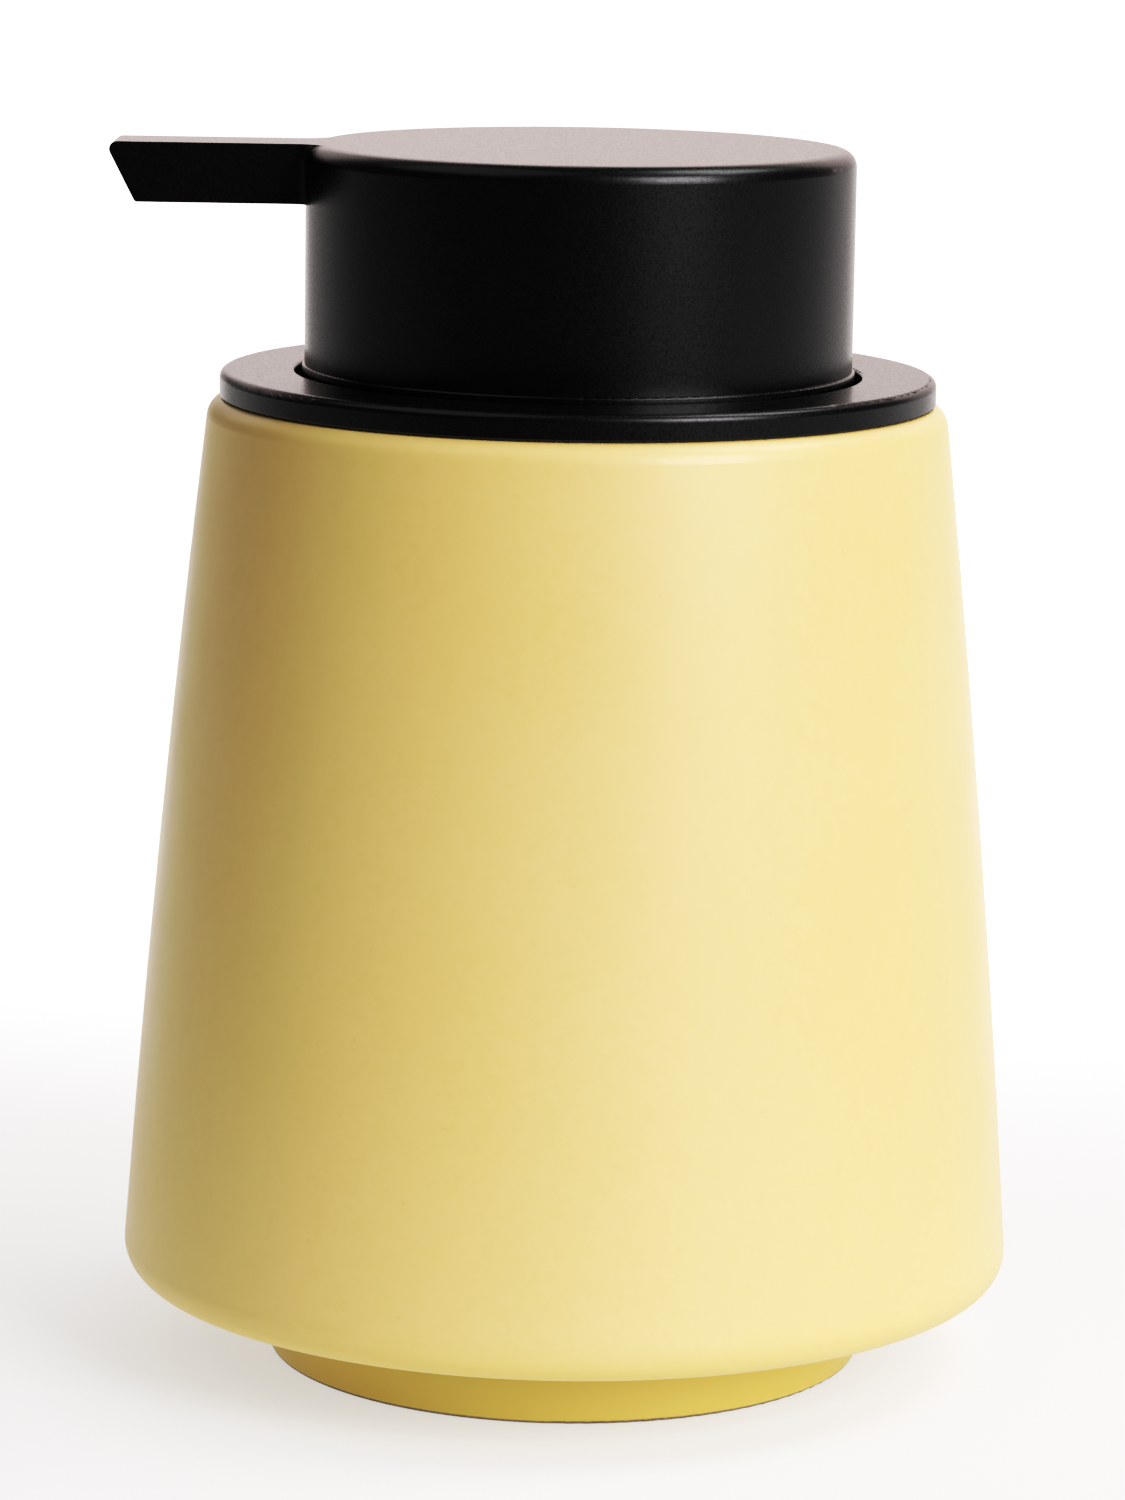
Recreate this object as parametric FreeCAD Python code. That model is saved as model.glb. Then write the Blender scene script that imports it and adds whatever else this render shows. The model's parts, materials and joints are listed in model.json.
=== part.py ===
import FreeCAD, Part
import math
import os

# Soap pump dispenser, in millimetres: a glazed ceramic bottle with a lift-out pump insert.
# +Z is up. The origin is the centre of the foot ring's bottom face, on the table.
# The pump axis is the Z axis, and at rest the spout points along -X.

# Overall heights, from the table up.
TOTAL_HEIGHT = 120.0
BODY_TOP = 95.4
STROKE = 12.0

# Ceramic bottle.
FOOT_RADIUS = 29.5
FOOT_INNER_RADIUS = 25.5
FOOT_HEIGHT = 7.9
FOOT_EDGE_ROUND = 0.5
FOOT_NECK_ROUND = 0.8
BASE_RECESS = 3.5
RECESS_ROUND = 1.5
BASE_CORNER_RADIUS = 44.28
BASE_ROUND = 3.1
SHOULDER_CORNER_RADIUS = 36.02
SHOULDER_ROUND = 2.2
WALL_BULGE = 0.52
WALL_THICKNESS = 4.0
MOUTH_RADIUS = 30.6
MOUTH_ROUND = 0.8
MOUTH_LAND_BOTTOM = 84.0
CAVITY_SHOULDER = 78.0
WELL_RADIUS = 23.0
WELL_FLOOR = 8.0
CAVITY_FLOOR = 12.0
WELL_ROUND = 3.0
CAVITY_CORNER_ROUND = 5.0

# Collar: a flat disc on the bottle's rim with a skirt down into the mouth.
COLLAR_RADIUS = 35.0
COLLAR_TOP = 98.0
COLLAR_TOP_ROUND = 0.8
COLLAR_EDGE_BREAK = 0.2
WELL_HOLE_RADIUS = 27.7
WELL_HOLE_ROUND = 0.3
SKIRT_RADIUS = 29.3
GROOVE_RADIUS = 28.75
GROOVE_BOTTOM = 85.0
GROOVE_TOP = 93.0

# Pump carrier: the floor of the collar's well, with the threaded neck.
CARRIER_RADIUS = 28.5
CARRIER_BOTTOM = 80.4
CARRIER_TOP = 82.4
NECK_ROOT_RADIUS = 11.0
NECK_BORE_RADIUS = 9.0
NECK_TOP = 93.4
GUIDE_RADIUS = 10.6
GUIDE_BOTTOM = 77.4
RIB_COUNT = 6
RIB_WIDTH = 1.2
RIB_DEPTH = 1.6
RIB_REACH = 26.0

# Screw thread shared by the neck and the nut.
THREAD_PITCH = 3.2
THREAD_DEPTH = 0.9
THREAD_ROOT_WIDTH = 1.4
THREAD_CREST_WIDTH = 0.8
THREAD_BITE = 0.3
THREAD_TURNS = 2.0
NECK_THREAD_START = 85.4

# Silicone seal ring in the collar's groove.
SEAL_BODY_RADIUS = 29.6
SEAL_TIP_RADIUS = 30.55
SEAL_MARGIN = 0.1
FIN_COUNT = 3
FIN_ROOT = 1.3
FIN_TIP = 0.5
FIN_LIFT = 0.5

# Closure nut, gasket and pump housing.
NUT_RADIUS = 14.0
NUT_BORE_RADIUS = 12.1
NUT_BOTTOM = 83.0
NUT_CEILING = 95.6
NUT_TOP = 97.0
NUT_HOLE_RADIUS = 8.0
NUT_TOP_ROUND = 0.6
GRIP_COUNT = 30
GRIP_RADIUS = 0.55
GRIP_OFFSET = 0.15
GASKET_TOP = 94.4
GASKET_RADIUS = 10.9
GASKET_HOLE_RADIUS = 8.2
FLANGE_RADIUS = 10.8
BARREL_RADIUS = 7.7
BARREL_BORE_RADIUS = 6.5
BARREL_LEDGE = 62.0
BARREL_SHOULDER = 61.0
SOCKET_SHOULDER = 56.0
SOCKET_RADIUS = 4.9
SOCKET_BORE_RADIUS = 3.1
SOCKET_BOTTOM = 48.0
SOCKET_TOP = 55.0
SEAT_HOLE_RADIUS = 1.4
SEAT_BOTTOM = 56.4
SEAT_ANGLE = 45.0
CHAMBER_RADIUS = 3.0
VENT_RADIUS = 0.7
VENT_HEIGHT = 87.0

# Chaplet: the cap that closes the barrel and guides the stem.
CHAPLET_RADIUS = 7.5
CHAPLET_TOP = 98.6
CHAPLET_CEILING = 96.6
CHAPLET_BORE_RADIUS = 3.8
CHAPLET_SKIRT_RADIUS = 6.47
CHAPLET_SKIRT_BORE = 5.2
CHAPLET_SKIRT_BOTTOM = 90.0
CHAPLET_ROUND = 0.4

# Inlet valve, cage, spring and dip tube.
BALL_RADIUS = 2.25
BALL_SEAT_GAP = 0.02
CAGE_RADIUS = 6.45
CAGE_TOP = 63.2
CAGE_HOLE_RADIUS = 1.5
CAGE_PILOT_TOP = 64.8
CAGE_PILOT_RADIUS = 3.1
CAGE_PILOT_BORE = 2.2
CAGE_SLOT_COUNT = 3
CAGE_SLOT_WIDTH = 1.0
CAGE_SLOT_REACH = 2.9
SPRING_RADIUS = 3.75
SPRING_WIRE = 1.0
SPRING_TURNS = 5.75
DIP_TUBE_RADIUS = 3.08
DIP_TUBE_BORE_RADIUS = 2.3
DIP_TUBE_TOP = 54.8
DIP_TUBE_BOTTOM = 9.5
DIP_TUBE_CUT_ANGLE = 45.0

# Piston, hollow stem and the plug that closes the stem's lower end.
PISTON_BOTTOM = 84.3
PISTON_TOP = 89.8
PISTON_BORE_RADIUS = 3.65
PISTON_SLEEVE_RADIUS = 4.75
PISTON_LIP_RADIUS = 6.48
PISTON_WAIST_RADIUS = 6.2
PISTON_CUP_RADIUS = 5.6
PISTON_LIP_INNER = 5.85
PISTON_LIP_HEIGHT = 0.6
PISTON_LIP_MARGIN = 0.3
PISTON_WEB_BOTTOM = 86.4
PISTON_WEB_TOP = 87.6
STEM_RADIUS = 3.6
STEM_BORE_RADIUS = 2.0
STEM_BOTTOM = 84.2
STEM_TOP = 114.8
STEM_END_BREAK = 0.3
PORT_COUNT = 4
PORT_RADIUS = 0.7
PORT_HEIGHT = 85.6
PLUG_FLANGE_RADIUS = 5.0
PLUG_FLANGE_BOTTOM = 82.6
PLUG_SPIGOT_RADIUS = 1.98
PLUG_SPIGOT_TOP = 89.0
PLUG_PILOT_RADIUS = 3.1
PLUG_PILOT_BOTTOM = 80.2
PLUG_FLUTE_WIDTH = 1.0
PLUG_FLUTE_FLOOR = 1.1

# Press head: outer shell with the spout, and the core inside it. At the end of the stroke
# the core's web stays clear of the chaplet, and its lip ring clear of the carrier.
WEB_CLEARANCE = 0.6
LIP_CLEARANCE = 0.8
HEAD_RADIUS = 26.75
HEAD_BOTTOM = 98.6
HEAD_WALL = 2.0
HEAD_CEILING = 118.5
HEAD_RIM_ROUND = 1.6
SPOUT_WIDTH = 8.0
SPOUT_HEIGHT = 5.8
SPOUT_REACH = 46.05
SPOUT_END_ANGLE = 27.0
SPOUT_ROOT = 20.0
SPOUT_TOP_CORNER_ROUND = 0.75
SPOUT_BOTTOM_CORNER_ROUND = 0.4
SPOUT_BLEND = 1.8
CORE_LIP_RADIUS = 27.0
CORE_LIP_BORE = 24.0
CORE_LIP_BOTTOM = CARRIER_TOP + STROKE + LIP_CLEARANCE
CORE_LIP_ROUND = 0.24
CORE_RADIUS = 24.65
CORE_WALL = 1.6
CORE_WALL_TOP = 114.2
CORE_WEB_THICKNESS = 1.5
CORE_WEB_BOTTOM = CHAPLET_TOP + STROKE + WEB_CLEARANCE
CORE_WEB_TOP = CORE_WEB_BOTTOM + CORE_WEB_THICKNESS
CORE_RIB_WIDTH = 1.4
HUB_RADIUS = 5.5
HUB_CHAMBER_TOP = 117.9
DUCT_HEIGHT = 116.55
DUCT_INNER_END = 3.0
SPOUT_TUBE_RADIUS = 1.6
SPOUT_TUBE_BORE = 1.1

UP = FreeCAD.Vector(0, 0, 1)
ORIGIN = FreeCAD.Vector(0, 0, 0)
NEAR = 1e-3


def point(radius, height):
    """Point of an outline in the XZ plane."""
    return FreeCAD.Vector(radius, 0, height)


def polyline(points):
    """Straight edges through (radius, height) points."""
    return [Part.LineSegment(point(*a), point(*b)).toShape() for a, b in zip(points, points[1:])]


def turned(edges):
    """Solid of revolution about Z of a closed outline."""
    face = Part.Face(Part.Wire(Part.__sortEdges__(edges)))
    return face.revolve(ORIGIN, UP, 360)


def turned_polygon(points):
    """Solid of revolution about Z of a closed polygon of (radius, height) corners."""
    return turned(polyline(points + points[:1]))


def disc(radius, bottom, top):
    """Solid cylinder about Z."""
    return Part.makeCylinder(radius, top - bottom, point(0, bottom), UP)


def tube(outer_radius, inner_radius, bottom, top):
    """Hollow cylinder about Z."""
    return disc(outer_radius, bottom, top).cut(disc(inner_radius, bottom, top))


def centred_box(x_min, x_max, width, z_min, z_max):
    """Box that is centred on the XZ plane."""
    corner = FreeCAD.Vector(x_min, -width / 2, z_min)
    return Part.makeBox(x_max - x_min, width, z_max - z_min, corner)


def around_z(shape, count, first_angle=0.0):
    """Copies of a shape, evenly spaced about Z."""
    copies = []
    for index in range(count):
        copy = shape.copy()
        copy.rotate(ORIGIN, UP, first_angle + 360.0 * index / count)
        copies.append(copy)
    return copies


def round_ring(shape, radius, height, rounding):
    """Round the circular edge about Z that has this radius and height."""
    rings = [
        edge for edge in shape.Edges
        if isinstance(edge.Curve, Part.Circle)
        and abs(edge.Curve.Radius - radius) < NEAR
        and abs(edge.Curve.Center.z - height) < NEAR
        and math.hypot(edge.Curve.Center.x, edge.Curve.Center.y) < NEAR
    ]
    return shape.makeFillet(rounding, rings)


def thread_ridge(inner_radius, outer_radius, inner_width, outer_width, start):
    """Helical ridge of a screw thread with a trapezoid section."""
    helix = Part.makeHelix(THREAD_PITCH, THREAD_PITCH * THREAD_TURNS, inner_radius)
    section = Part.makePolygon([
        point(inner_radius, -inner_width / 2),
        point(outer_radius, -outer_width / 2),
        point(outer_radius, outer_width / 2),
        point(inner_radius, inner_width / 2),
        point(inner_radius, -inner_width / 2),
    ])
    ridge = Part.Wire(helix).makePipeShell([section], True, True)
    ridge.translate(FreeCAD.Vector(0, 0, start))
    return ridge


def wall_radius(height, inset=0.0):
    """Radius of the bottle's gently bowed wall at a height."""
    share = (height - FOOT_HEIGHT) / (BODY_TOP - FOOT_HEIGHT)
    straight = BASE_CORNER_RADIUS + (SHOULDER_CORNER_RADIUS - BASE_CORNER_RADIUS) * share
    return straight + 4 * WALL_BULGE * share * (1 - share) - inset


def wall_arc(bottom, top, inset=0.0):
    """Arc of the bottle's wall between two heights."""
    heights = (bottom, (bottom + top) / 2, top)
    return Part.Arc(*[point(wall_radius(z, inset), z) for z in heights]).toShape()


def ceramic_body():
    """Bottle with a foot ring, a recessed base and a cavity that follows its outside."""
    below = polyline([
        (0, BODY_TOP),
        (0, 0),
        (FOOT_RADIUS, 0),
        (FOOT_RADIUS, FOOT_HEIGHT),
        (BASE_CORNER_RADIUS, FOOT_HEIGHT),
    ])
    above = polyline([(SHOULDER_CORNER_RADIUS, BODY_TOP), (0, BODY_TOP)])
    body = turned(below + [wall_arc(FOOT_HEIGHT, BODY_TOP)] + above)
    body = round_ring(body, BASE_CORNER_RADIUS, FOOT_HEIGHT, BASE_ROUND)
    body = round_ring(body, SHOULDER_CORNER_RADIUS, BODY_TOP, SHOULDER_ROUND)
    body = round_ring(body, FOOT_RADIUS, FOOT_HEIGHT, FOOT_NECK_ROUND)
    body = round_ring(body, FOOT_RADIUS, 0, FOOT_EDGE_ROUND)
    body = body.cut(disc(FOOT_INNER_RADIUS, 0, BASE_RECESS))
    body = round_ring(body, FOOT_INNER_RADIUS, 0, FOOT_EDGE_ROUND)
    body = round_ring(body, FOOT_INNER_RADIUS, BASE_RECESS, RECESS_ROUND)
    body = body.cut(bottle_cavity())
    return round_ring(body, MOUTH_RADIUS, BODY_TOP, MOUTH_ROUND)


def bottle_cavity():
    """Soap space: a well over the foot, the wide part, and the mouth."""
    well_slope_end = FOOT_RADIUS
    floor_end = wall_radius(CAVITY_FLOOR, WALL_THICKNESS)
    shoulder_radius = wall_radius(CAVITY_SHOULDER, WALL_THICKNESS)
    lower = polyline([
        (0, BODY_TOP),
        (0, WELL_FLOOR),
        (WELL_RADIUS, WELL_FLOOR),
        (well_slope_end, CAVITY_FLOOR),
        (floor_end, CAVITY_FLOOR),
    ])
    upper = polyline([
        (shoulder_radius, CAVITY_SHOULDER),
        (MOUTH_RADIUS, MOUTH_LAND_BOTTOM),
        (MOUTH_RADIUS, BODY_TOP),
        (0, BODY_TOP),
    ])
    cavity = turned(lower + [wall_arc(CAVITY_FLOOR, CAVITY_SHOULDER, WALL_THICKNESS)] + upper)
    cavity = round_ring(cavity, floor_end, CAVITY_FLOOR, CAVITY_CORNER_ROUND)
    cavity = round_ring(cavity, WELL_RADIUS, WELL_FLOOR, WELL_ROUND)
    cavity = round_ring(cavity, well_slope_end, CAVITY_FLOOR, WELL_ROUND)
    cavity = round_ring(cavity, shoulder_radius, CAVITY_SHOULDER, WELL_ROUND)
    return round_ring(cavity, MOUTH_RADIUS, MOUTH_LAND_BOTTOM, MOUTH_ROUND)


def collar():
    """Disc on the bottle's rim, with a skirt that holds the seal ring and the carrier."""
    body = turned_polygon([
        (WELL_HOLE_RADIUS, COLLAR_TOP),
        (COLLAR_RADIUS, COLLAR_TOP),
        (COLLAR_RADIUS, BODY_TOP),
        (SKIRT_RADIUS, BODY_TOP),
        (SKIRT_RADIUS, GROOVE_TOP),
        (GROOVE_RADIUS, GROOVE_TOP),
        (GROOVE_RADIUS, GROOVE_BOTTOM),
        (SKIRT_RADIUS, GROOVE_BOTTOM),
        (SKIRT_RADIUS, CARRIER_BOTTOM),
        (CARRIER_RADIUS, CARRIER_BOTTOM),
        (CARRIER_RADIUS, CARRIER_TOP),
        (WELL_HOLE_RADIUS, CARRIER_TOP),
    ])
    body = round_ring(body, COLLAR_RADIUS, COLLAR_TOP, COLLAR_TOP_ROUND)
    body = round_ring(body, COLLAR_RADIUS, BODY_TOP, COLLAR_EDGE_BREAK)
    body = round_ring(body, SKIRT_RADIUS, CARRIER_BOTTOM, COLLAR_EDGE_BREAK)
    return round_ring(body, WELL_HOLE_RADIUS, COLLAR_TOP, WELL_HOLE_ROUND)


def pump_carrier():
    """Floor disc with a threaded neck above, and a guide and ribs below."""
    body = disc(CARRIER_RADIUS, CARRIER_BOTTOM, CARRIER_TOP)
    neck = disc(NECK_ROOT_RADIUS, CARRIER_TOP, NECK_TOP)
    guide = disc(GUIDE_RADIUS, GUIDE_BOTTOM, CARRIER_BOTTOM)
    rib = centred_box(0, RIB_REACH, RIB_WIDTH, CARRIER_BOTTOM - RIB_DEPTH, CARRIER_BOTTOM)
    crest = NECK_ROOT_RADIUS + THREAD_DEPTH
    root = NECK_ROOT_RADIUS - THREAD_BITE
    thread = thread_ridge(root, crest, THREAD_ROOT_WIDTH, THREAD_CREST_WIDTH, NECK_THREAD_START)
    body = body.multiFuse([neck, guide, thread] + around_z(rib, RIB_COUNT)).removeSplitter()
    return body.cut(disc(NECK_BORE_RADIUS, GUIDE_BOTTOM, NECK_TOP))


def seal_ring():
    """Silicone ring with fins that wipe the bottle's mouth."""
    bottom = GROOVE_BOTTOM + SEAL_MARGIN
    top = GROOVE_TOP - SEAL_MARGIN
    spacing = (top - bottom) / FIN_COUNT
    outline = [(GROOVE_RADIUS, top), (GROOVE_RADIUS, bottom), (SEAL_BODY_RADIUS, bottom)]
    for index in range(FIN_COUNT):
        middle = bottom + spacing * (index + 0.5)
        outline += [
            (SEAL_BODY_RADIUS, middle - FIN_ROOT / 2),
            (SEAL_TIP_RADIUS, middle + FIN_LIFT - FIN_TIP / 2),
            (SEAL_TIP_RADIUS, middle + FIN_LIFT + FIN_TIP / 2),
            (SEAL_BODY_RADIUS, middle + FIN_ROOT / 2),
        ]
    outline.append((SEAL_BODY_RADIUS, top))
    return turned_polygon(outline)


def closure_nut():
    """Cap nut that clamps the housing's flange and the gasket onto the neck."""
    body = disc(NUT_RADIUS, NUT_BOTTOM, NUT_TOP)
    body = round_ring(body, NUT_RADIUS, NUT_TOP, NUT_TOP_ROUND)
    body = body.cut(disc(NUT_BORE_RADIUS, NUT_BOTTOM, NUT_CEILING))
    body = body.cut(disc(NUT_HOLE_RADIUS, NUT_CEILING, NUT_TOP))
    groove = disc(GRIP_RADIUS, NUT_BOTTOM, NUT_TOP)
    groove.translate(FreeCAD.Vector(NUT_RADIUS + GRIP_OFFSET, 0, 0))
    body = body.cut(Part.makeCompound(around_z(groove, GRIP_COUNT)))
    crest = NUT_BORE_RADIUS - THREAD_DEPTH
    root = NUT_BORE_RADIUS + THREAD_BITE
    start = NECK_THREAD_START - THREAD_PITCH / 2
    thread = thread_ridge(crest, root, THREAD_CREST_WIDTH, THREAD_ROOT_WIDTH, start)
    return body.fuse(thread)


def neck_gasket():
    """Flat washer between the neck and the housing's flange."""
    return tube(GASKET_RADIUS, GASKET_HOLE_RADIUS, NECK_TOP, GASKET_TOP)


def pump_housing():
    """Barrel with a flange on top, the ball's seat below and a socket for the dip tube."""
    seat_rise = (CHAMBER_RADIUS - SEAT_HOLE_RADIUS) * math.tan(math.radians(SEAT_ANGLE))
    body = turned_polygon([
        (FLANGE_RADIUS, NUT_CEILING),
        (FLANGE_RADIUS, GASKET_TOP),
        (BARREL_RADIUS, GASKET_TOP),
        (BARREL_RADIUS, BARREL_SHOULDER),
        (SOCKET_RADIUS, SOCKET_SHOULDER),
        (SOCKET_RADIUS, SOCKET_BOTTOM),
        (SOCKET_BORE_RADIUS, SOCKET_BOTTOM),
        (SOCKET_BORE_RADIUS, SOCKET_TOP),
        (SEAT_HOLE_RADIUS, SOCKET_TOP),
        (SEAT_HOLE_RADIUS, SEAT_BOTTOM),
        (CHAMBER_RADIUS, SEAT_BOTTOM + seat_rise),
        (CHAMBER_RADIUS, BARREL_LEDGE),
        (BARREL_BORE_RADIUS, BARREL_LEDGE),
        (BARREL_BORE_RADIUS, NUT_CEILING),
    ])
    vent = Part.makeCylinder(VENT_RADIUS, 2 * BARREL_RADIUS, point(0, VENT_HEIGHT), UP.cross(point(1, 0)))
    return body.cut(vent)


def chaplet():
    """Cap in the top of the barrel that guides the stem and stops the piston."""
    body = turned_polygon([
        (CHAPLET_BORE_RADIUS, CHAPLET_TOP),
        (CHAPLET_RADIUS, CHAPLET_TOP),
        (CHAPLET_RADIUS, NUT_CEILING),
        (CHAPLET_SKIRT_RADIUS, NUT_CEILING),
        (CHAPLET_SKIRT_RADIUS, CHAPLET_SKIRT_BOTTOM),
        (CHAPLET_SKIRT_BORE, CHAPLET_SKIRT_BOTTOM),
        (CHAPLET_SKIRT_BORE, CHAPLET_CEILING),
        (CHAPLET_BORE_RADIUS, CHAPLET_CEILING),
    ])
    return round_ring(body, CHAPLET_RADIUS, CHAPLET_TOP, CHAPLET_ROUND)


def ball_cage():
    """Slotted disc over the inlet valve: it limits the ball's lift and centres the spring."""
    body = disc(CAGE_RADIUS, BARREL_LEDGE, CAGE_TOP)
    pilot = tube(CAGE_PILOT_RADIUS, CAGE_PILOT_BORE, CAGE_TOP, CAGE_PILOT_TOP)
    body = body.fuse(pilot).cut(disc(CAGE_HOLE_RADIUS, BARREL_LEDGE, CAGE_TOP))
    slot = centred_box(0, CAGE_SLOT_REACH, CAGE_SLOT_WIDTH, BARREL_LEDGE, CAGE_TOP)
    return body.cut(Part.makeCompound(around_z(slot, CAGE_SLOT_COUNT)))


def inlet_ball():
    """Steel check ball that rests on the conical seat."""
    angle = math.radians(SEAT_ANGLE)
    contact_radius = BALL_RADIUS * math.sin(angle)
    contact_height = SEAT_BOTTOM + (contact_radius - SEAT_HOLE_RADIUS) * math.tan(angle)
    centre_height = contact_height + BALL_RADIUS * math.cos(angle) + BALL_SEAT_GAP
    return Part.makeSphere(BALL_RADIUS, point(0, centre_height))


def return_spring():
    """Compression spring between the cage and the plug's flange."""
    length = PLUG_FLANGE_BOTTOM - CAGE_TOP - SPRING_WIRE
    helix = Part.makeHelix(length / SPRING_TURNS, length, SPRING_RADIUS)
    forward = FreeCAD.Vector(0, 1, 0)
    section = Part.Wire(Part.makeCircle(SPRING_WIRE / 2, point(SPRING_RADIUS, 0), forward))
    spring = Part.Wire(helix).makePipeShell([section], True, True)
    spring.translate(FreeCAD.Vector(0, 0, CAGE_TOP + SPRING_WIRE / 2))
    return spring


def dip_tube():
    """Straight tube with its lower end cut off at a slant."""
    body = tube(DIP_TUBE_RADIUS, DIP_TUBE_BORE_RADIUS, DIP_TUBE_BOTTOM, DIP_TUBE_TOP)
    slant_rise = DIP_TUBE_RADIUS * math.tan(math.radians(DIP_TUBE_CUT_ANGLE))
    cutter = centred_box(-SOCKET_BOTTOM, SOCKET_BOTTOM, SOCKET_BOTTOM, -SOCKET_BOTTOM, 0)
    cutter.rotate(ORIGIN, FreeCAD.Vector(0, 1, 0), DIP_TUBE_CUT_ANGLE)
    cutter.translate(point(0, DIP_TUBE_BOTTOM + slant_rise))
    return body.cut(cutter)


def piston():
    """Double-lipped piston that slides on the barrel's wall."""
    return turned_polygon([
        (PISTON_BORE_RADIUS, PISTON_BOTTOM),
        (PISTON_SLEEVE_RADIUS, PISTON_BOTTOM),
        (PISTON_SLEEVE_RADIUS, PISTON_WEB_BOTTOM),
        (PISTON_CUP_RADIUS, PISTON_WEB_BOTTOM),
        (PISTON_LIP_INNER, PISTON_BOTTOM + PISTON_LIP_MARGIN),
        (PISTON_LIP_RADIUS, PISTON_BOTTOM + PISTON_LIP_MARGIN),
        (PISTON_LIP_RADIUS, PISTON_BOTTOM + PISTON_LIP_MARGIN + PISTON_LIP_HEIGHT),
        (PISTON_WAIST_RADIUS, PISTON_WEB_BOTTOM),
        (PISTON_WAIST_RADIUS, PISTON_WEB_TOP),
        (PISTON_LIP_RADIUS, PISTON_TOP - PISTON_LIP_MARGIN - PISTON_LIP_HEIGHT),
        (PISTON_LIP_RADIUS, PISTON_TOP - PISTON_LIP_MARGIN),
        (PISTON_LIP_INNER, PISTON_TOP - PISTON_LIP_MARGIN),
        (PISTON_CUP_RADIUS, PISTON_WEB_TOP),
        (PISTON_SLEEVE_RADIUS, PISTON_WEB_TOP),
        (PISTON_SLEEVE_RADIUS, PISTON_TOP),
        (PISTON_BORE_RADIUS, PISTON_TOP),
    ])


def stem():
    """Hollow stem with inlet ports just above the plug."""
    body = disc(STEM_RADIUS, STEM_BOTTOM, STEM_TOP)
    body = round_ring(body, STEM_RADIUS, STEM_TOP, STEM_END_BREAK)
    body = body.cut(disc(STEM_BORE_RADIUS, STEM_BOTTOM, STEM_TOP))
    port = Part.makeCylinder(PORT_RADIUS, 2 * STEM_RADIUS, point(0, PORT_HEIGHT), point(1, 0))
    return body.cut(Part.makeCompound(around_z(port, PORT_COUNT)))


def stem_plug():
    """Plug with a fluted spigot in the stem, a valve flange and a pilot in the spring."""
    spigot = disc(PLUG_SPIGOT_RADIUS, STEM_BOTTOM, PLUG_SPIGOT_TOP)
    flute_bottom = PORT_HEIGHT - PORT_RADIUS
    flute = centred_box(PLUG_FLUTE_FLOOR, STEM_RADIUS, PLUG_FLUTE_WIDTH, flute_bottom, PLUG_SPIGOT_TOP)
    spigot = spigot.cut(Part.makeCompound(around_z(flute, PORT_COUNT)))
    flange = disc(PLUG_FLANGE_RADIUS, PLUG_FLANGE_BOTTOM, STEM_BOTTOM)
    flange = round_ring(flange, PLUG_FLANGE_RADIUS, STEM_BOTTOM, STEM_END_BREAK)
    pilot = disc(PLUG_PILOT_RADIUS, PLUG_PILOT_BOTTOM, PLUG_FLANGE_BOTTOM)
    pilot = round_ring(pilot, PLUG_PILOT_RADIUS, PLUG_PILOT_BOTTOM, STEM_END_BREAK)
    return flange.multiFuse([spigot, pilot]).removeSplitter()


def spout_slant(depth):
    """How far the slanted spout end runs back at a depth below the top face."""
    return depth * math.tan(math.radians(SPOUT_END_ANGLE))


def spout_blank(root):
    """Solid spout with a slanted end and rounded end corners."""
    bottom = TOTAL_HEIGHT - SPOUT_HEIGHT
    outline = Part.makePolygon([
        point(-root, TOTAL_HEIGHT),
        point(-SPOUT_REACH, TOTAL_HEIGHT),
        point(-SPOUT_REACH + spout_slant(SPOUT_HEIGHT), bottom),
        point(-root, bottom),
        point(-root, TOTAL_HEIGHT),
    ])
    blank = Part.Face(outline).extrude(FreeCAD.Vector(0, SPOUT_WIDTH, 0))
    blank.translate(FreeCAD.Vector(0, -SPOUT_WIDTH / 2, 0))
    blank = round_cross_edge(blank, -SPOUT_REACH, TOTAL_HEIGHT, SPOUT_TOP_CORNER_ROUND)
    lower_end = -SPOUT_REACH + spout_slant(SPOUT_HEIGHT)
    return round_cross_edge(blank, lower_end, bottom, SPOUT_BOTTOM_CORNER_ROUND)


def round_cross_edge(shape, x, z, rounding):
    """Round the edge that runs along Y at this place."""
    edges = [
        edge for edge in shape.Edges
        if abs(edge.CenterOfMass.x - x) < NEAR and abs(edge.CenterOfMass.z - z) < NEAR
    ]
    return shape.makeFillet(rounding, edges)


def head_shell():
    """Outer shell of the press head, with the spout moulded on flush with its top."""
    body = disc(HEAD_RADIUS, HEAD_BOTTOM, TOTAL_HEIGHT)
    body = round_ring(body, HEAD_RADIUS, TOTAL_HEIGHT, HEAD_RIM_ROUND)
    body = body.fuse(spout_blank(SPOUT_ROOT)).removeSplitter()
    body = body.makeFillet(SPOUT_BLEND, spout_root_edges(body))
    body = body.cut(disc(HEAD_RADIUS - HEAD_WALL, HEAD_BOTTOM, HEAD_CEILING))
    return body.cut(duct(SPOUT_TUBE_RADIUS, DUCT_INNER_END))


def spout_root_edges(body):
    """Upright edges where the spout's sides meet the head's wall."""
    return [
        edge for edge in body.Edges
        if isinstance(edge.Curve, Part.Line)
        and abs(abs(edge.CenterOfMass.y) - SPOUT_WIDTH / 2) < NEAR
        and edge.BoundBox.ZLength > SPOUT_HEIGHT / 2
        and edge.CenterOfMass.x > -HEAD_RADIUS
    ]


def duct(radius, inner_end):
    """Round duct from the hub to past the spout's end."""
    start = point(-inner_end, DUCT_HEIGHT)
    return Part.makeCylinder(radius, SPOUT_REACH, start, FreeCAD.Vector(-1, 0, 0))


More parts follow.
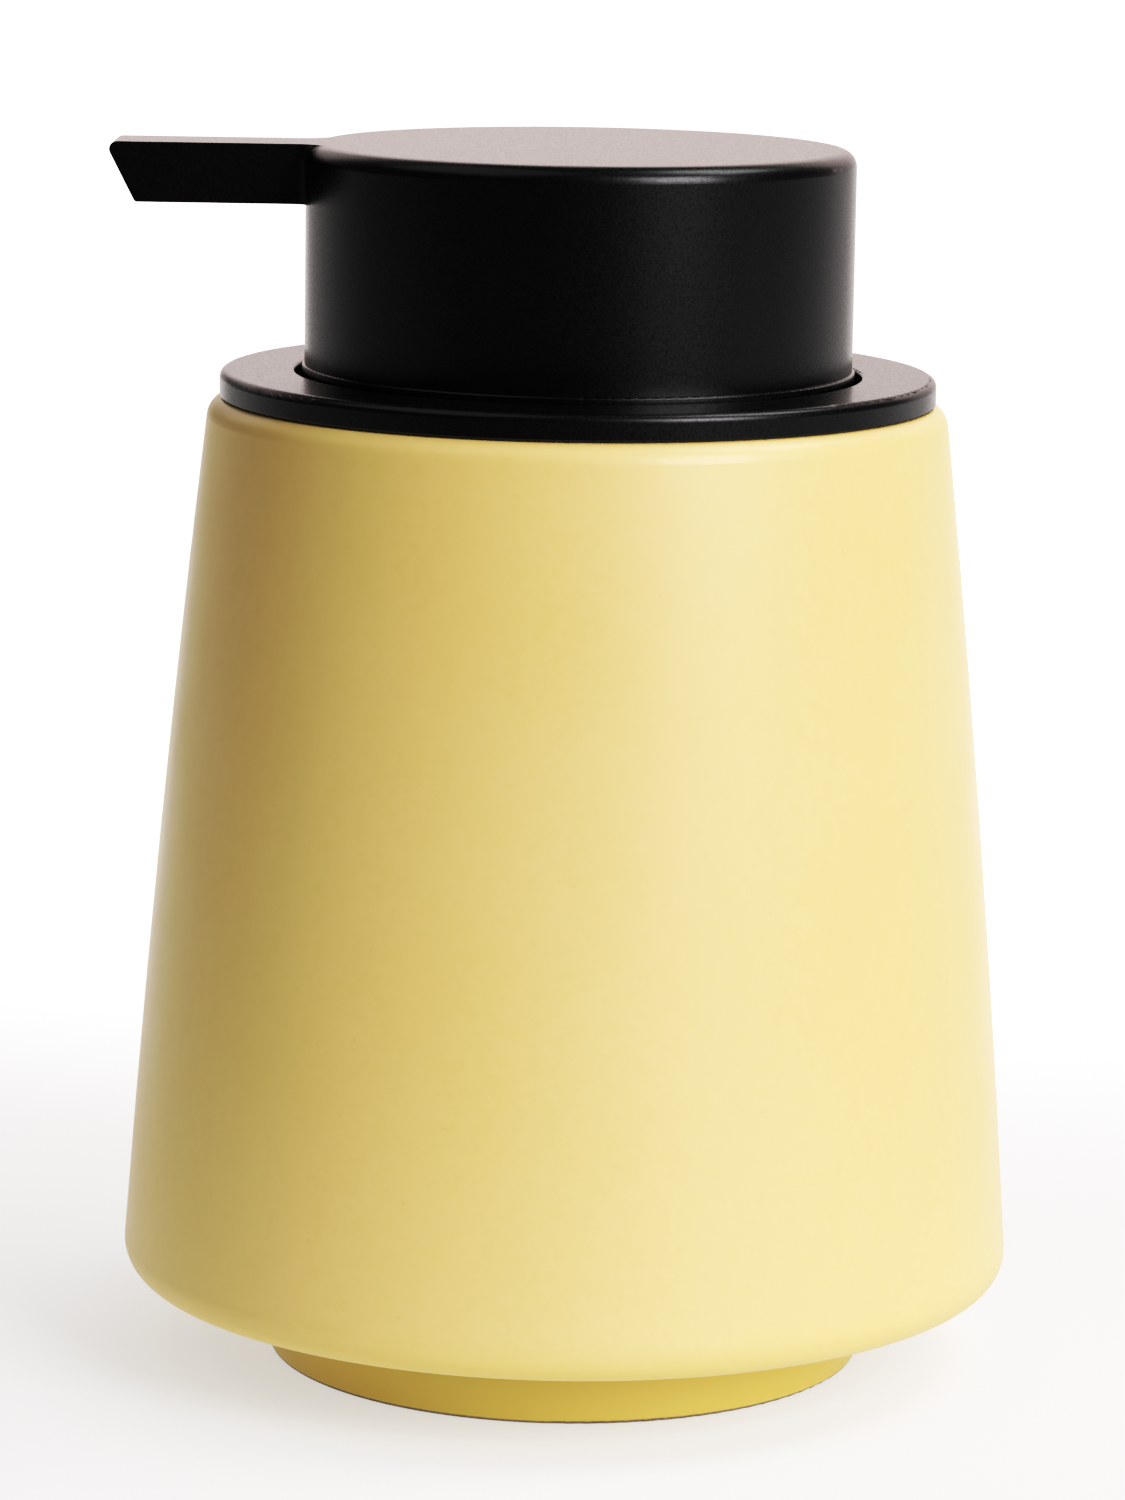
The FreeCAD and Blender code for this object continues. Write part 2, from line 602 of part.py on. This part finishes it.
def head_core():
    """Core inside the head: lip ring, wall, web, ribs and the hub on the stem."""
    body = turned_polygon([
        (CORE_LIP_BORE, CORE_LIP_BOTTOM),
        (CORE_LIP_RADIUS, CORE_LIP_BOTTOM),
        (CORE_LIP_RADIUS, HEAD_BOTTOM),
        (CORE_RADIUS, HEAD_BOTTOM),
        (CORE_RADIUS, CORE_WALL_TOP),
        (CORE_RADIUS - CORE_WALL, CORE_WALL_TOP),
        (CORE_RADIUS - CORE_WALL, CORE_WEB_TOP),
        (0, CORE_WEB_TOP),
        (0, CORE_WEB_BOTTOM),
        (CORE_RADIUS - CORE_WALL, CORE_WEB_BOTTOM),
        (CORE_RADIUS - CORE_WALL, HEAD_BOTTOM),
    ])
    body = round_ring(body, CORE_LIP_RADIUS, HEAD_BOTTOM, CORE_LIP_ROUND)
    body = round_ring(body, CORE_LIP_RADIUS, CORE_LIP_BOTTOM, CORE_LIP_ROUND)
    hub = disc(HUB_RADIUS, CORE_WEB_TOP, HEAD_CEILING)
    rib_end = CORE_RADIUS - CORE_WALL / 2
    rib = centred_box(0, rib_end, CORE_RIB_WIDTH, CORE_WEB_TOP, CORE_WALL_TOP)
    tall_rib = centred_box(0, rib_end - CORE_WALL, CORE_RIB_WIDTH, CORE_WEB_TOP, HEAD_CEILING)
    half_step = 180.0 / RIB_COUNT
    ribs = around_z(rib, RIB_COUNT, half_step) + around_z(tall_rib, RIB_COUNT, half_step)
    body = body.multiFuse([hub] + ribs).removeSplitter()
    body = body.cut(disc(STEM_RADIUS, CORE_WEB_BOTTOM, STEM_TOP))
    body = body.cut(disc(STEM_BORE_RADIUS, STEM_TOP, HUB_CHAMBER_TOP))
    body = body.cut(duct(SPOUT_TUBE_BORE, 0))
    return body.cut(duct(SPOUT_TUBE_RADIUS, DUCT_INNER_END))


def spout_tube():
    """Liner tube from the hub to the spout's slanted end."""
    liner = duct(SPOUT_TUBE_RADIUS, DUCT_INNER_END).cut(duct(SPOUT_TUBE_BORE, DUCT_INNER_END))
    return liner.common(spout_blank(0))


SUB_PARTS = (
    ceramic_body,
    collar,
    pump_carrier,
    seal_ring,
    closure_nut,
    neck_gasket,
    pump_housing,
    chaplet,
    ball_cage,
    inlet_ball,
    return_spring,
    dip_tube,
    piston,
    stem,
    stem_plug,
    head_shell,
    head_core,
    spout_tube,
)

os.makedirs("parts", exist_ok=True)
for sub_part in SUB_PARTS:
    sub_part().exportStep("parts/" + sub_part.__name__ + ".step")
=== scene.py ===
import json
import math

import bmesh
import bpy
from mathutils import Matrix, Vector


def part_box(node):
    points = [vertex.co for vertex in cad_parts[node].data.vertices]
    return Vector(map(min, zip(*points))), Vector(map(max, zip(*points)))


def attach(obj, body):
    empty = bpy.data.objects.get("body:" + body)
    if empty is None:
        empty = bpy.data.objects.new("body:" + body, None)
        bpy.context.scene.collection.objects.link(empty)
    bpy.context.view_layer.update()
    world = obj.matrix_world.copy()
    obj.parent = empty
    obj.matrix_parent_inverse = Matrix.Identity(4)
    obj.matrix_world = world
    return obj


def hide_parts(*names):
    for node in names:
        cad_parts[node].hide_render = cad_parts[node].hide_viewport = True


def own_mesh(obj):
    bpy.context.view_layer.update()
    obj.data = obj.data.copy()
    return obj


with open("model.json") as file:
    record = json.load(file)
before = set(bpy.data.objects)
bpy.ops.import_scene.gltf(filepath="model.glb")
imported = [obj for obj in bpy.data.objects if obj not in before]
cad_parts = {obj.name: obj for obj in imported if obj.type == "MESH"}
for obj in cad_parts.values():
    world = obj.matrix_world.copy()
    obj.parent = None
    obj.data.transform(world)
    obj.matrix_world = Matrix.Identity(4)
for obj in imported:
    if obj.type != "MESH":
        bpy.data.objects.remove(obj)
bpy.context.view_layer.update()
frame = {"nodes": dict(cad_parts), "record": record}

# A ceramic soap dispenser with a black press head, in metres. The frame's imported parts are the
# object, with the materials made here. The spring is rebuilt and carried with the insert.

MM = 0.001
NODES = frame["nodes"]
SPRING_LOW, SPRING_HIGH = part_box("return_spring")


def link(thing):
    """Put a new object into the scene."""
    bpy.context.scene.collection.objects.link(thing)
    return thing


# ---------------------------------------------------------------- camera, lights and tone

CAMERA_DISTANCE = 555.1 * MM
CAMERA_HEIGHT = 161.3 * MM
CAMERA_SIDE = -0.95 * MM
CAMERA_PITCH = 10.31
CAMERA_ROLL = 0.9
SENSOR_HEIGHT = 36.0
LENS = 136.85
CLIP_NEAR = 0.01
CLIP_FAR = 50

LIGHT_TARGET = (0, 0, 0.06)
# Name, place, width, height, surface brightness and colour of each softbox.
SOFTBOXES = (
    ("key_softbox", (0.80, -0.88, 0.62), 0.66, 0.80, 13.0, (1.0, 0.955, 1.0)),
    ("top_softbox", (0.62, 0.05, 1.10), 0.55, 0.55, 8.0, (1, 1, 1)),
    ("overhead_fill", (-0.50, -0.22, 0.95), 1.0, 0.8, 0.70, (1, 1, 1)),
)
SURROUND_COLOUR = (1.0, 0.99, 0.98, 1)
SURROUND_STRENGTH = 0.07

# Pairs of scene brightness and the brightness it is shown at.
TONE_CURVE = ((0.1, 0.055), (0.4, 0.41), (0.8, 0.74), (1.2, 0.905))
WHITE_POINT = 1.6
COMBINED_CURVE = 3


def add_camera():
    """Camera a little above the bottle, looking slightly down at it."""
    data = bpy.data.cameras.new("camera")
    data.sensor_fit = "VERTICAL"
    data.sensor_height = SENSOR_HEIGHT
    data.lens = LENS
    data.clip_start = CLIP_NEAR
    data.clip_end = CLIP_FAR
    camera = link(bpy.data.objects.new("camera", data))
    camera.location = (CAMERA_SIDE, -CAMERA_DISTANCE, CAMERA_HEIGHT)
    tilt = Matrix.Rotation(math.radians(90 - CAMERA_PITCH), 3, "X")
    roll = Matrix.Rotation(math.radians(CAMERA_ROLL), 3, "Z")
    camera.rotation_euler = (tilt @ roll).to_euler()
    bpy.context.scene.camera = camera


def add_softbox(name, place, width, height, radiance, colour):
    """Rectangular light that faces the object and has an even surface brightness."""
    data = bpy.data.lights.new(name, "AREA")
    data.shape = "RECTANGLE"
    data.size = width
    data.size_y = height
    data.color = colour
    data.energy = radiance * math.pi * width * height
    light = link(bpy.data.objects.new(name, data))
    light.location = place
    aim = Vector(LIGHT_TARGET) - Vector(place)
    light.rotation_euler = aim.to_track_quat("-Z", "Y").to_euler()


def add_lights():
    """Tall softbox at the front right, two softer ones above and a weak even surround."""
    for softbox in SOFTBOXES:
        add_softbox(*softbox)
    world = bpy.data.worlds.new("studio")
    world.use_nodes = True
    background = world.node_tree.nodes["Background"]
    background.inputs["Color"].default_value = SURROUND_COLOUR
    background.inputs["Strength"].default_value = SURROUND_STRENGTH
    bpy.context.scene.world = world


def set_tone_curve():
    """Studio contrast curve: deep blacks and a soft shoulder below paper white."""
    settings = bpy.context.scene.view_settings
    settings.view_transform = "Standard"
    settings.use_curve_mapping = True
    mapping = settings.curve_mapping
    mapping.white_level = (WHITE_POINT, WHITE_POINT, WHITE_POINT)
    points = mapping.curves[COMBINED_CURVE].points
    for scene_value, shown_value in TONE_CURVE:
        points.new(scene_value / WHITE_POINT, shown_value)
    mapping.update()


# ---------------------------------------------------------------- shader helpers

NOISE_RANGE = (0.3, 0.7)
EVEN = (1, 1, 1)


def new_material(name):
    """Material with one Principled shader; returns the material, its tree and the shader."""
    material = bpy.data.materials.new(name)
    material.use_nodes = True
    tree = material.node_tree
    return material, tree, tree.nodes["Principled BSDF"]


def place_axes(tree):
    """X, Y and Z of the surface point in the part's own frame."""
    place = tree.nodes.new("ShaderNodeTexCoord")
    axes = tree.nodes.new("ShaderNodeSeparateXYZ")
    tree.links.new(place.outputs["Object"], axes.inputs[0])
    return axes.outputs["X"], axes.outputs["Y"], axes.outputs["Z"]


def noise(tree, size, detail, stretch=EVEN):
    """Noise in the part's own coordinates, with features of about the given size in metres."""
    place = tree.nodes.new("ShaderNodeTexCoord")
    mapping = tree.nodes.new("ShaderNodeMapping")
    mapping.inputs["Scale"].default_value = stretch
    texture = tree.nodes.new("ShaderNodeTexNoise")
    texture.inputs["Scale"].default_value = 1 / size
    texture.inputs["Detail"].default_value = detail
    tree.links.new(place.outputs["Object"], mapping.inputs["Vector"])
    tree.links.new(mapping.outputs["Vector"], texture.inputs["Vector"])
    return texture.outputs["Fac"]


def remap(tree, value, low, high, to_low, to_high):
    """Value moved smoothly from one range to another."""
    node = tree.nodes.new("ShaderNodeMapRange")
    node.interpolation_type = "SMOOTHSTEP"
    node.inputs["From Min"].default_value = low
    node.inputs["From Max"].default_value = high
    node.inputs["To Min"].default_value = to_low
    node.inputs["To Max"].default_value = to_high
    tree.links.new(value, node.inputs["Value"])
    return node.outputs["Result"]


def noise_between(tree, size, detail, to_low=0.0, to_high=1.0, stretch=EVEN):
    """Noise spread over a range of its own."""
    return remap(tree, noise(tree, size, detail, stretch), *NOISE_RANGE, to_low, to_high)


def blend_colours(tree, factor, first, second):
    """Colour between two others; each is a colour or another node's output."""
    node = tree.nodes.new("ShaderNodeMix")
    node.data_type = "RGBA"
    tree.links.new(factor, node.inputs["Factor"])
    for socket, colour in ((node.inputs["A"], first), (node.inputs["B"], second)):
        if isinstance(colour, tuple):
            socket.default_value = (*colour, 1)
        else:
            tree.links.new(colour, socket)
    return node.outputs["Result"]


def math_node(tree, operation, *values):
    """Maths on one or two values; each is a number or another node's output."""
    node = tree.nodes.new("ShaderNodeMath")
    node.operation = operation
    for socket, value in zip(node.inputs, values):
        if isinstance(value, (int, float)):
            socket.default_value = value
        else:
            tree.links.new(value, socket)
    return node.outputs["Value"]


def bump(tree, shader, height, depth, strength):
    """Surface relief of a real depth in metres."""
    node = tree.nodes.new("ShaderNodeBump")
    node.inputs["Strength"].default_value = strength
    node.inputs["Distance"].default_value = depth
    tree.links.new(height, node.inputs["Height"])
    tree.links.new(node.outputs["Normal"], shader.inputs["Normal"])


def scaled(colour, share):
    """Colour made darker or paler."""
    return tuple(min(1.0, share * value) for value in colour)


# ---------------------------------------------------------------- stage

STAGE_HALF_WIDTH = 2.4
STAGE_FRONT = -0.32
WALL_FOOT = 1.4
WALL_BEND = 0.9
WALL_TOP = 2.4
BEND_STEPS = 16

PAPER = (0.42, 0.42, 0.42, 1)
PAPER_ROUGHNESS = 0.9
# The side falloffs run with x over the distance from a line in front of the object.
FALLOFF_ORIGIN = 0.3
SHORTEST_REACH = 0.02
CONTACT_SHIFT = 10 * MM

# Each ramp goes from one place or slope to another, and from one share of the glow to another.
DEPTH_GLOW = (0.04, 0.27, 0.76, 1.75)
LEFT_FALLOFF = (-0.44, -0.18, 0.34, 1.0)
LEFT_FAR_FALLOFF = (-1.6, -0.6, 0.25, 1.0)
LEFT_WALL_POWER = (0.02, 0.2, 1.0, 2.4)
LEFT_WALL_LIFT = (0.45, 1.0, 0.0, 0.65)
RIGHT_FALLOFF = (0.18, 0.44, 1.0, 0.45)
RIGHT_FAR_FALLOFF = (0.7, 1.8, 1.0, 0.6)
RIGHT_WALL_LIFT = (0.05, 0.3, 0.0, 0.8)
WALL_DIMMING = (0.05, 0.3, 1.0, 0.76)
CROWN_GLOW = (0.6, 1.3, 1.0, 1.7)
# Painted contact shadow: distances from the foot over which the glow is dimmed, and how far.
CONTACT_SHADE = (22 * MM, 54 * MM, 0.70, 1.0)

NEAR_WHITE = (1.0, 0.99, 0.985)
FAR_WHITE = (1.0, 0.93, 0.91)
HIGH_WHITE = (1.0, 0.85, 0.82)
FAR_RAMP = (0.2, 0.9, 0.0, 1.0)
HIGH_RAMP = (0.05, 0.4, 0.0, 1.0)


def side_shares(tree, across, back, up):
    """Shares of the glow that fall off to the left and to the right."""
    reach = math_node(tree, "ADD", back, FALLOFF_ORIGIN)
    reach = math_node(tree, "MAXIMUM", reach, SHORTEST_REACH)
    slope = math_node(tree, "DIVIDE", across, reach)
    left = remap(tree, slope, *LEFT_FALLOFF)
    left = math_node(tree, "POWER", left, remap(tree, up, *LEFT_WALL_POWER))
    left = math_node(tree, "MAXIMUM", left, remap(tree, up, *LEFT_WALL_LIFT))
    right = remap(tree, slope, *RIGHT_FALLOFF)
    right = math_node(tree, "MAXIMUM", right, remap(tree, up, *RIGHT_WALL_LIFT))
    far_left = remap(tree, slope, *LEFT_FAR_FALLOFF)
    far_right = remap(tree, slope, *RIGHT_FAR_FALLOFF)
    return [left, far_left, right, far_right]


def contact_shadow_share(tree, across, back):
    """Painted contact shadow: the share of the glow that is dimmed close around the foot, a
    little to the left of it.
    """
    shifted = math_node(tree, "ADD", across, CONTACT_SHIFT)
    squares = [math_node(tree, "MULTIPLY", value, value) for value in (shifted, back)]
    distance = math_node(tree, "SQRT", math_node(tree, "ADD", *squares))
    return remap(tree, distance, *CONTACT_SHADE)


def stage_material():
    """White paper that glows: brighter towards the back, dimmer at the sides, and dimmed around
    the foot as a painted contact shadow.
    """
    material, tree, shader = new_material("stage_paper")
    shader.inputs["Base Color"].default_value = PAPER
    shader.inputs["Roughness"].default_value = PAPER_ROUGHNESS
    shader.inputs["Specular IOR Level"].default_value = 0.0
    across, back, up = place_axes(tree)
    shares = side_shares(tree, across, back, up)
    shares.append(remap(tree, up, *WALL_DIMMING))
    shares.append(remap(tree, up, *CROWN_GLOW))
    shares.append(contact_shadow_share(tree, across, back))
    glow = remap(tree, back, *DEPTH_GLOW)
    for share in shares:
        glow = math_node(tree, "MULTIPLY", glow, share)
    tree.links.new(glow, shader.inputs["Emission Strength"])
    warmth = blend_colours(tree, remap(tree, back, *FAR_RAMP), NEAR_WHITE, FAR_WHITE)
    warmth = blend_colours(tree, remap(tree, up, *HIGH_RAMP), warmth, HIGH_WHITE)
    tree.links.new(warmth, shader.inputs["Emission Color"])
    return material


def add_stage():
    """Floor that curves up into a back wall."""
    profile = [(STAGE_FRONT, 0.0), (WALL_FOOT, 0.0)]
    for step in range(1, BEND_STEPS + 1):
        angle = math.pi / 2 * step / BEND_STEPS
        back = WALL_FOOT + WALL_BEND * math.sin(angle)
        profile.append((back, WALL_BEND * (1 - math.cos(angle))))
    profile.append((WALL_FOOT + WALL_BEND, WALL_TOP))
    points = []
    for y, z in profile:
        points += [(-STAGE_HALF_WIDTH, y, z), (STAGE_HALF_WIDTH, y, z)]
    faces = [(2 * i, 2 * i + 1, 2 * i + 3, 2 * i + 2) for i in range(len(profile) - 1)]
    mesh = bpy.data.meshes.new("stage")
    mesh.from_pydata(points, [], faces)
    for polygon in mesh.polygons:
        polygon.use_smooth = True
    mesh.materials.append(stage_material())
    stage = link(bpy.data.objects.new("stage", mesh))


# ---------------------------------------------------------------- materials

GLAZE = (0.740, 0.548, 0.205)
GLAZE_PALE = (0.750, 0.558, 0.216)
# Deeper glaze, used for random mottle and to paint shade on the foot.
GLAZE_DEEP_AND_SHADED = (0.630, 0.472, 0.115)
GLAZE_SPECK = (0.30, 0.22, 0.10)
# Unglazed stoneware darkened to paint a contact shadow along the foot's rim; the second colour
# is its random darker grain.
SHADOWED_CLAY = (0.26, 0.21, 0.15)
SHADOWED_CLAY_DARK = (0.17, 0.135, 0.095)
BLACK = (0.0008, 0.0008, 0.0008)
CARRIER_BLACK = (0.014, 0.014, 0.015)
WHITE_POLYMER = (0.80, 0.80, 0.775)
NATURAL_POLYMER = (0.72, 0.72, 0.69)
TUBE_POLYMER = (0.78, 0.79, 0.79)
GREY_SILICONE = (0.42, 0.42, 0.41)
FOAM = (0.62, 0.62, 0.60)
WIRE_STEEL = (0.52, 0.52, 0.53)
BALL_STEEL = (0.62, 0.62, 0.63)

# Heights above the table over which the foot is darkened, partly glaze that gathers there and
# partly painted shade, and where the glaze stops on the rim, whose unglazed band is darkened as
# a painted contact shadow.
POOLED_GLAZE_AND_FOOT_SHADE = (6 * MM, 13 * MM, 1.0, 0.0)
BARE_SHADOWED_RIM = (0.25 * MM, 0.42 * MM, 1.0, 0.0)
DRIFT_RANGE = (0.35, 0.65, 0.0, 1.0)
SPECK_RANGE = (0.86, 0.88, 0.0, 0.1)
DUST_RANGE = (0.35, 0.7, 0.0, 1.0)
SPECKLE_RANGE = (0.25, 0.75)
SCATTER_RADIUS = (0.002, 0.002, 0.002)

# How much paler or darker each material gets in its patches.
CLOUD_SHARE = 1.25
FLOW_SHARE = 0.93
DUST_SHARE = 1.15
LINE_SHARE = 0.78
BARE_CLAY_ROUGHNESS = 0.45
PIT_SHARE = 0.12


def glaze_colour(tree, height, bare_shadowed_rim):
    """Yellow that drifts softly, is darkened at the foot by glaze that gathers there and by
    painted shade, and leaves an unglazed rim in a stoneware colour darkened as a painted contact
    shadow.
    """
    drift = remap(tree, noise(tree, 30 * MM, 3), *DRIFT_RANGE)
    colour = blend_colours(tree, drift, GLAZE, GLAZE_PALE)
    # Painted shade on the foot, partly glaze that gathers there.
    pooled_and_shaded = remap(tree, height, *POOLED_GLAZE_AND_FOOT_SHADE)
    colour = blend_colours(tree, pooled_and_shaded, colour, GLAZE_DEEP_AND_SHADED)
    mottle = noise_between(tree, 1.2 * MM, 2, to_high=0.10)
    colour = blend_colours(tree, mottle, colour, GLAZE_DEEP_AND_SHADED)
    specks = remap(tree, noise(tree, 0.7 * MM, 0), *SPECK_RANGE)
    colour = blend_colours(tree, specks, colour, GLAZE_SPECK)
    # Unglazed rim colour, darkened as a painted contact shadow.
    shadowed_clay = blend_colours(tree, noise_between(tree, 0.35 * MM, 3), SHADOWED_CLAY, SHADOWED_CLAY_DARK)
    return blend_colours(tree, bare_shadowed_rim, colour, shadowed_clay)


def glaze_material():
    """Satin glaze with a thin glossy coat, an orange-peel surface and fine pits."""
    material, tree, shader = new_material("satin_glaze")
    height = place_axes(tree)[2]
    # Band of the unglazed rim, whose colour also carries a painted contact shadow.
    bare_shadowed_rim = remap(tree, height, *BARE_SHADOWED_RIM)
    tree.links.new(glaze_colour(tree, height, bare_shadowed_rim), shader.inputs["Base Color"])
    sheen = noise_between(tree, 14 * MM, 2, 0.42, 0.48)
    rougher = math_node(tree, "MULTIPLY", bare_shadowed_rim, BARE_CLAY_ROUGHNESS)
    roughness = math_node(tree, "ADD", sheen, rougher)
    tree.links.new(roughness, shader.inputs["Roughness"])
    shader.inputs["Specular IOR Level"].default_value = 0.55
    shader.inputs["Coat Weight"].default_value = 0.12
    shader.inputs["Coat Roughness"].default_value = 0.17
    peel = noise(tree, 2.6 * MM, 2)
    pits = math_node(tree, "MULTIPLY", noise(tree, 0.3 * MM, 2), PIT_SHARE)
    bump(tree, shader, math_node(tree, "ADD", peel, pits), 0.02 * MM, 0.6)
    return material


def spark_plastic_material(name, base, roughness, grain):
    """Black moulded plastic with a fine spark-eroded texture."""
    material, tree, shader = new_material(name)
    cloud = noise_between(tree, 9 * MM, 3)
    colour = blend_colours(tree, cloud, base, scaled(base, CLOUD_SHARE))
    tree.links.new(colour, shader.inputs["Base Color"])
    speckle = noise(tree, grain, 2)
    uneven = remap(tree, speckle, *SPECKLE_RANGE, roughness - 0.04, roughness + 0.05)
    tree.links.new(uneven, shader.inputs["Roughness"])
    shader.inputs["Specular IOR Level"].default_value = 0.35
    bump(tree, shader, speckle, 0.006 * MM, 0.25)
    return material


def polymer_material(name, base, roughness, see_through=0.0, relief=0.5):
    """Pale moulded polymer with faint flow marks."""
    material, tree, shader = new_material(name)
    flow = noise_between(tree, 4 * MM, 3, stretch=(1, 1, 0.25))
    colour = blend_colours(tree, flow, base, scaled(base, FLOW_SHARE))
    tree.links.new(colour, shader.inputs["Base Color"])
    uneven = noise_between(tree, 1.5 * MM, 2, roughness - 0.05, roughness + 0.05)
    tree.links.new(uneven, shader.inputs["Roughness"])
    shader.inputs["Transmission Weight"].default_value = see_through
    shader.inputs["Subsurface Weight"].default_value = 0.15
    shader.inputs["Subsurface Radius"].default_value = SCATTER_RADIUS
    bump(tree, shader, noise(tree, 0.6 * MM, 2), 0.006 * MM, relief)
    return material


def rubber_material(name, base, roughness):
    """Soft silicone or foam with a dusty, finely grained face."""
    material, tree, shader = new_material(name)
    dust = remap(tree, noise(tree, 2 * MM, 4), *DUST_RANGE)
    colour = blend_colours(tree, dust, base, scaled(base, DUST_SHARE))
    tree.links.new(colour, shader.inputs["Base Color"])
    uneven = noise_between(tree, 0.8 * MM, 2, roughness - 0.08, roughness + 0.08)
    tree.links.new(uneven, shader.inputs["Roughness"])
    shader.inputs["Subsurface Weight"].default_value = 0.25
    shader.inputs["Subsurface Radius"].default_value = SCATTER_RADIUS
    bump(tree, shader, noise(tree, 0.5 * MM, 2), 0.008 * MM, 0.3)
    return material


def steel_material(name, base, roughness, stretch):
    """Drawn or ground steel with fine lines."""
    material, tree, shader = new_material(name)
    lines = noise(tree, 0.25 * MM, 3, stretch)
    shade = remap(tree, lines, *NOISE_RANGE, 0.0, 1.0)
    colour = blend_colours(tree, shade, base, scaled(base, LINE_SHARE))
    tree.links.new(colour, shader.inputs["Base Color"])
    uneven = remap(tree, lines, *NOISE_RANGE, roughness - 0.06, roughness + 0.08)
    tree.links.new(uneven, shader.inputs["Roughness"])
    shader.inputs["Metallic"].default_value = 1.0
    bump(tree, shader, lines, 0.004 * MM, 0.4)
    return material


def make_materials():
    """One material for each of the record's slots."""
    plastic = spark_plastic_material
    polymer = polymer_material
    return {
        "glaze": glaze_material(),
        "matte_black": plastic("matte_black_plastic", BLACK, 0.29, 0.22 * MM),
        "matte_black_core": plastic("matte_black_core_plastic", BLACK, 0.28, 0.22 * MM),
        "black_polymer": plastic("black_carrier_plastic", CARRIER_BLACK, 0.42, 0.4 * MM),
        "white_polymer": polymer("white_polypropylene", WHITE_POLYMER, 0.38),
        "natural_polymer": polymer("natural_polyethylene", NATURAL_POLYMER, 0.42, 0.10, 0.3),
        "dip_tube": polymer("dip_tube_polyethylene", TUBE_POLYMER, 0.34, 0.12, 0.15),
        "silicone": rubber_material("grey_silicone", GREY_SILICONE, 0.55),
        "gasket": rubber_material("foam_gasket", FOAM, 0.80),
        "spring_steel": steel_material("spring_wire", WIRE_STEEL, 0.32, (1, 1, 3)),
        "steel_ball": steel_material("ball_steel", BALL_STEEL, 0.14, EVEN),
    }


MATERIALS = make_materials()


def paint_packed_nodes():
    """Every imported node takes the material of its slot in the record."""
    for entry in frame["record"]["subparts"]:
        mesh = NODES[entry["node"]].data
        mesh.materials.clear()
        mesh.materials.append(MATERIALS[entry["material_slot"]])


# ---------------------------------------------------------------- return spring

WIRE_RADIUS = 0.5 * MM
ACTIVE_TURNS = 4.75
CLOSED_TURNS = 1.1
CLOSED_RISE = 2.04 * WIRE_RADIUS
STEPS_PER_TURN = 40
SIDES = 14
END_THICKNESS = 0.45
TAPER_PER_TURN = 2.2


def coil_height(turn, length):
    """Height of the wire's centre line at a turn: closed end coils, open coils between."""
    closed = CLOSED_TURNS * CLOSED_RISE
    open_rise = (length - 2 * WIRE_RADIUS - 2 * closed) / ACTIVE_TURNS
    if turn < CLOSED_TURNS:
        return turn * CLOSED_RISE
    open_turns = min(turn - CLOSED_TURNS, ACTIVE_TURNS)
    past = max(turn - CLOSED_TURNS - ACTIVE_TURNS, 0.0)
    return closed + open_turns * open_rise + past * CLOSED_RISE


def ring_of_wire(mesh, centre, outward, thickness):
    """One ring of points around the wire, at a share of its full thickness."""
    upward = Vector((0, 0, 1))
    points = []
    for side in range(SIDES):
        angle = 2 * math.pi * side / SIDES
        offset = outward * math.cos(angle) + upward * math.sin(angle)
        points.append(mesh.verts.new(centre + offset * WIRE_RADIUS * thickness))
    return points


def wire_rings(mesh, length):
    """Rings of points along the whole wire, thinner at both ends."""
    coil_radius = SPRING_HIGH.x - WIRE_RADIUS
    turns = ACTIVE_TURNS + 2 * CLOSED_TURNS
    count = round(turns * STEPS_PER_TURN)
    rings = []
    for step in range(count + 1):
        turn = turns * step / count
        angle = 2 * math.pi * turn
        outward = Vector((math.cos(angle), math.sin(angle), 0))
        height = SPRING_LOW.z + WIRE_RADIUS + coil_height(turn, length)
        turns_to_end = min(step, count - step) / STEPS_PER_TURN
        thickness = min(1.0, END_THICKNESS + TAPER_PER_TURN * turns_to_end)
        centre = outward * coil_radius + Vector((0, 0, height))
        rings.append(ring_of_wire(mesh, centre, outward, thickness))
    return rings


def spring_mesh(length):
    """Closed tube of wire wound into the spring."""
    mesh = bmesh.new()
    rings = wire_rings(mesh, length)
    for first, second in zip(rings, rings[1:]):
        for side in range(SIDES):
            after = (side + 1) % SIDES
            mesh.faces.new((first[side], first[after], second[after], second[side]))
    mesh.faces.new(list(reversed(rings[0])))
    mesh.faces.new(rings[-1])
    bmesh.ops.recalc_face_normals(mesh, faces=mesh.faces)
    data = bpy.data.meshes.new("spring_coil")
    mesh.to_mesh(data)
    mesh.free()
    for polygon in data.polygons:
        polygon.use_smooth = True
    return data


def add_spring():
    """Compression spring with closed, tapered ends, carried with the insert."""
    length = SPRING_HIGH.z - SPRING_LOW.z
    data = spring_mesh(length)
    data.materials.append(MATERIALS["spring_steel"])
    spring = link(bpy.data.objects.new("spring_coil", data))
    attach(spring, "insert")
    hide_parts("return_spring")
    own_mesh(spring)


add_camera()
add_lights()
set_tone_curve()
add_stage()
paint_packed_nodes()
add_spring()
